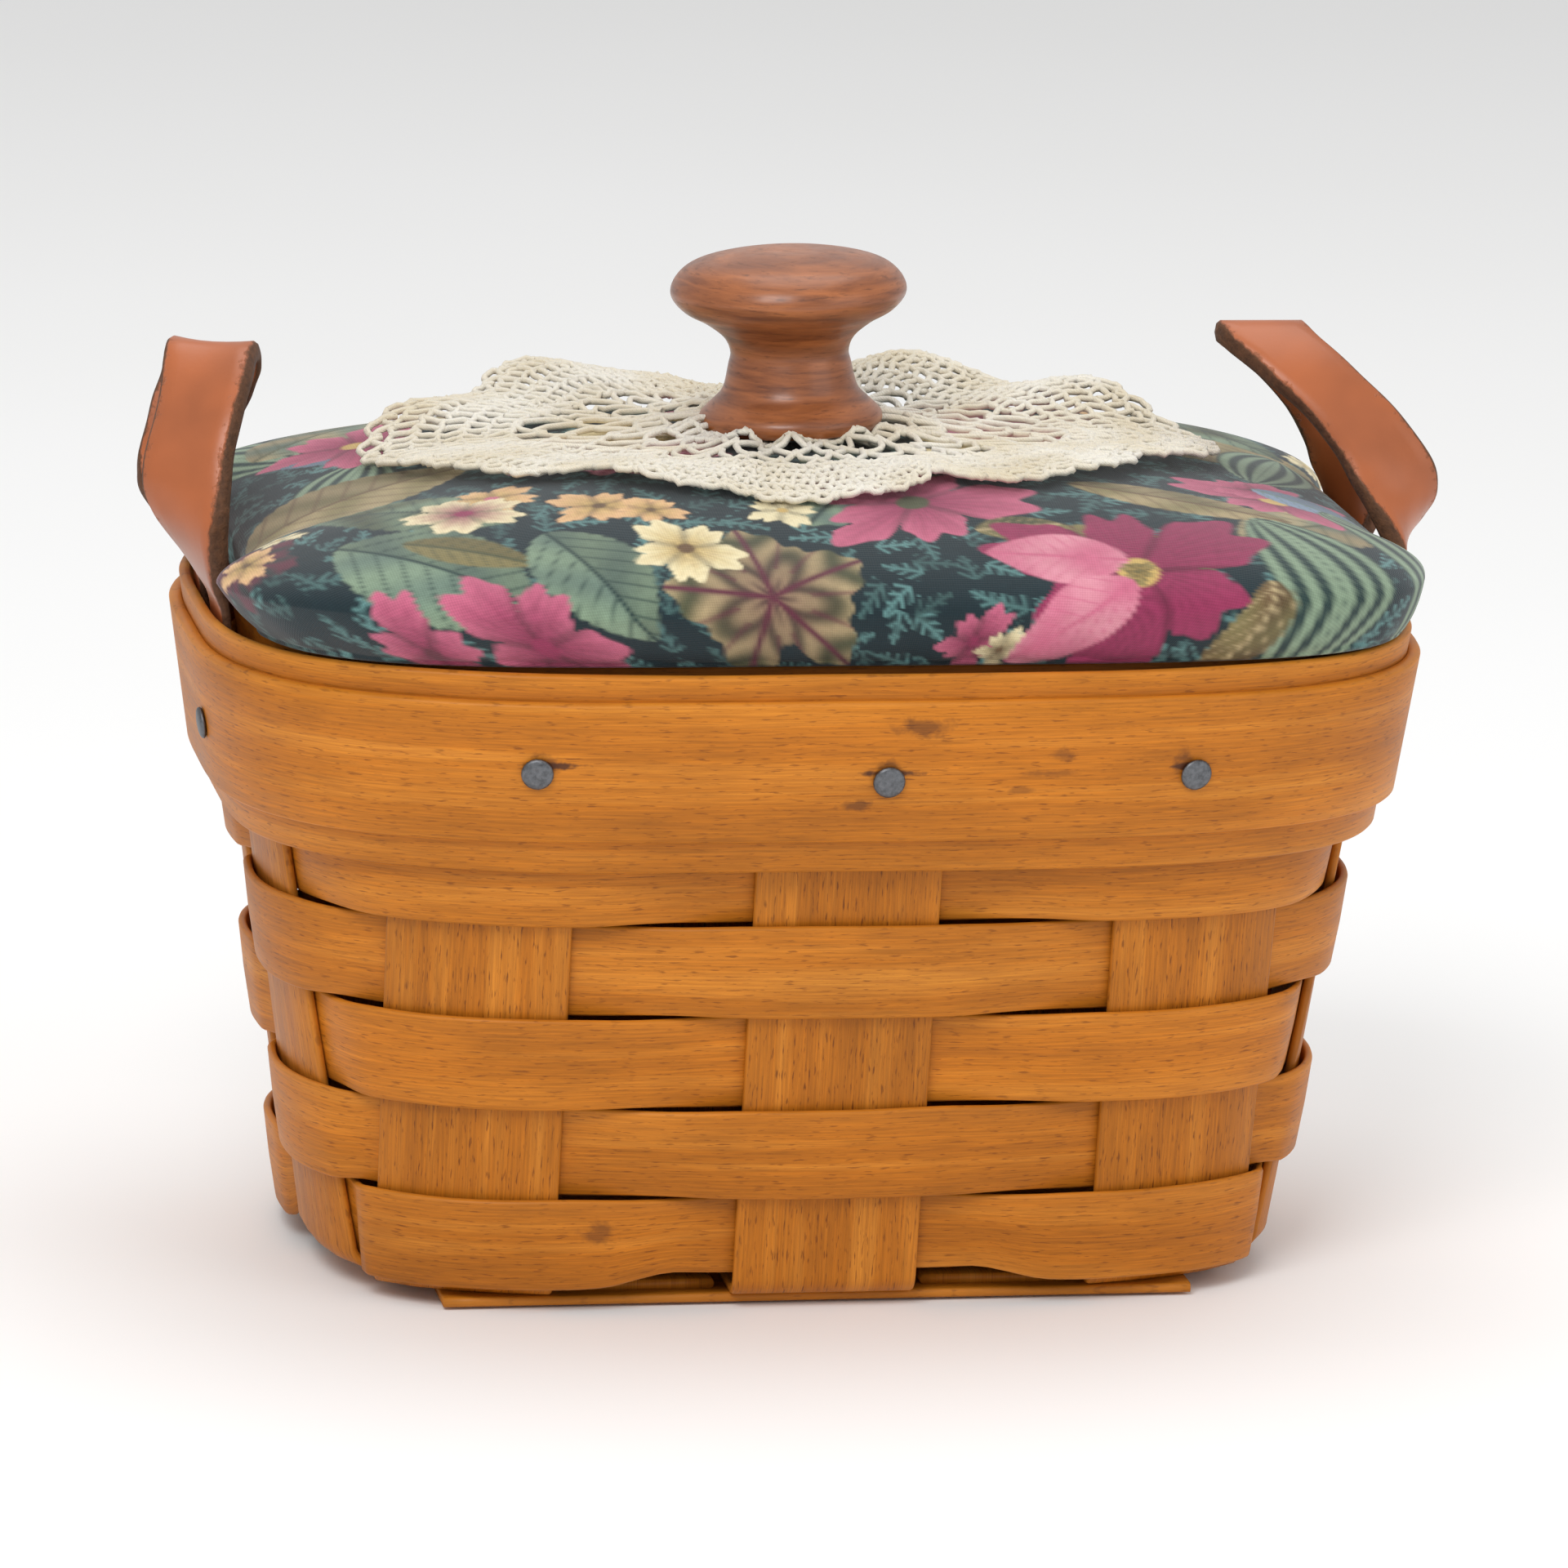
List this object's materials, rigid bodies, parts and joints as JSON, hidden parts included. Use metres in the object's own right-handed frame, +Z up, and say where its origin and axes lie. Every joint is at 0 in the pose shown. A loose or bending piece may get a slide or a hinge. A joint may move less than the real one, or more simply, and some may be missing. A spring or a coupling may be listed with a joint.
{
  "type": "sewing basket",
  "caption": "Woven splint sewing basket with a padded floral fabric lid, turned wooden knob, crochet doily and leather ear handles.",
  "frame": {"origin": "on the table under the centre of the basket's base", "axes": "+X to the right along the long way, +Y to the back, +Z up"},
  "size_m": [0.1735, 0.1186, 0.1345],
  "materials": {
    "maple_band": "satin lacquer",
    "maple_weaver": "satin lacquer",
    "maple_stake": "satin lacquer",
    "maple_base": "matt",
    "tack_steel": "dull",
    "ear_leather": "smooth, raw edges",
    "lid_plywood": "raw",
    "pad_foam": "matt",
    "floral_cotton": "printed cotton",
    "screw_steel": "zinc",
    "crochet_cotton": "cotton thread",
    "knob_wood": "satin lacquer"
  },
  "bodies": {
    "basket": {"front_back_stake_left": "maple_stake", "front_back_stake_centre": "maple_stake", "front_back_stake_right": "maple_stake", "left_right_stake_front": "maple_stake", "left_right_stake_back": "maple_stake", "base_filler_left": "maple_base", "base_filler_right": "maple_base", "base_brace_front": "maple_base", "base_brace_centre": "maple_base", "base_brace_back": "maple_base", "hidden_top_row": "maple_weaver", "weaver_row_1": "maple_weaver", "weaver_row_2": "maple_weaver", "weaver_row_3": "maple_weaver", "weaver_row_4": "maple_weaver", "weaver_row_5": "maple_weaver", "outer_band": "maple_band", "trim_strip": "maple_band", "inner_band": "maple_band", "tacks": "tack_steel", "left_ear": "ear_leather", "right_ear": "ear_leather"},
    "lid": {"lid_board": "lid_plywood", "foam_pad": "pad_foam", "lid_cover": "floral_cotton", "lid_liner": "lid_plywood", "liner_screws": "screw_steel", "crochet_doily": "crochet_cotton", "knob": "knob_wood", "knob_screw": "screw_steel", "screw_washer": "screw_steel"}
  },
  "joints": [
    {"name": "lid_lift", "type": "slide", "parent": "basket", "child": "lid", "axis": [0, 0, 1], "range_m": [0, 0.06], "deforming": ["left_ear", "right_ear"]}
  ]
}
